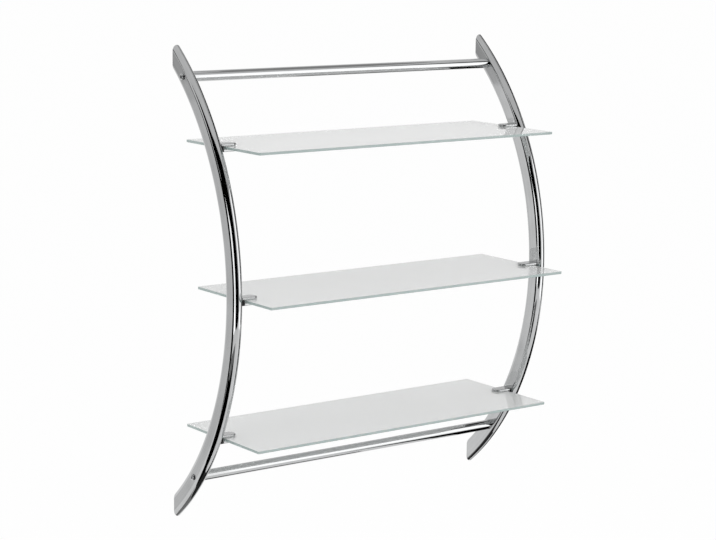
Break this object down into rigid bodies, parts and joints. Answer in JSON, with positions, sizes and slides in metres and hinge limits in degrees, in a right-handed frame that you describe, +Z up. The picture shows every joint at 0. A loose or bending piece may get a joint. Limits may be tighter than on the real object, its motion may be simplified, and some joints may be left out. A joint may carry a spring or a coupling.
{
  "type": "glass wall shelf",
  "caption": "Wall shelf of frosted glass plates clamped between bowed chrome oval-tube uprights, tied by round rails and hung on wall plates in the tube ends.",
  "frame": {"origin": "on the wall plane, midway between the uprights, at the height of their greatest bow", "axes": "+X to the right seen from the front, +Y into the wall, +Z up; the front faces -Y"},
  "size_m": [0.6072, 0.236, 0.7312],
  "materials": {
    "chrome_tube": "polished chrome",
    "chrome_fixing": "polished chrome",
    "satin_glass": "satin frosted, clear edges",
    "zinc_plate": "zinc plated",
    "steel": "bright zinc plated",
    "rubber": "matt black",
    "clear_pad": "clear soft plastic"
  },
  "bodies": {
    "root": {"left_upright": "chrome_tube", "upper_left_wall_plate": "zinc_plate", "lower_left_wall_plate": "zinc_plate", "right_upright": "chrome_tube", "upper_right_wall_plate": "zinc_plate", "lower_right_wall_plate": "zinc_plate", "upper_rail": "chrome_tube", "upper_rail_left_insert": "steel", "upper_rail_left_screw": "chrome_fixing", "upper_rail_right_insert": "steel", "upper_rail_right_screw": "chrome_fixing", "lower_rail": "chrome_tube", "lower_rail_left_insert": "steel", "lower_rail_left_screw": "chrome_fixing", "lower_rail_right_insert": "steel", "lower_rail_right_screw": "chrome_fixing", "top_shelf": "satin_glass", "top_left_clip": "chrome_fixing", "top_left_clip_pad": "clear_pad", "top_left_clip_screw": "steel", "top_left_clip_stud": "steel", "top_left_clip_spacer": "rubber", "top_right_clip": "chrome_fixing", "top_right_clip_pad": "clear_pad", "top_right_clip_screw": "steel", "top_right_clip_stud": "steel", "top_right_clip_spacer": "rubber", "middle_shelf": "satin_glass", "middle_left_clip": "chrome_fixing", "middle_left_clip_pad": "clear_pad", "middle_left_clip_screw": "steel", "middle_left_clip_stud": "steel", "middle_left_clip_spacer": "rubber", "middle_right_clip": "chrome_fixing", "middle_right_clip_pad": "clear_pad", "middle_right_clip_screw": "steel", "middle_right_clip_stud": "steel", "middle_right_clip_spacer": "rubber", "bottom_shelf": "satin_glass", "bottom_left_clip": "chrome_fixing", "bottom_left_clip_pad": "clear_pad", "bottom_left_clip_screw": "steel", "bottom_left_clip_stud": "steel", "bottom_left_clip_spacer": "rubber", "bottom_right_clip": "chrome_fixing", "bottom_right_clip_pad": "clear_pad", "bottom_right_clip_screw": "steel", "bottom_right_clip_stud": "steel", "bottom_right_clip_spacer": "rubber"}
  },
  "joints": []
}
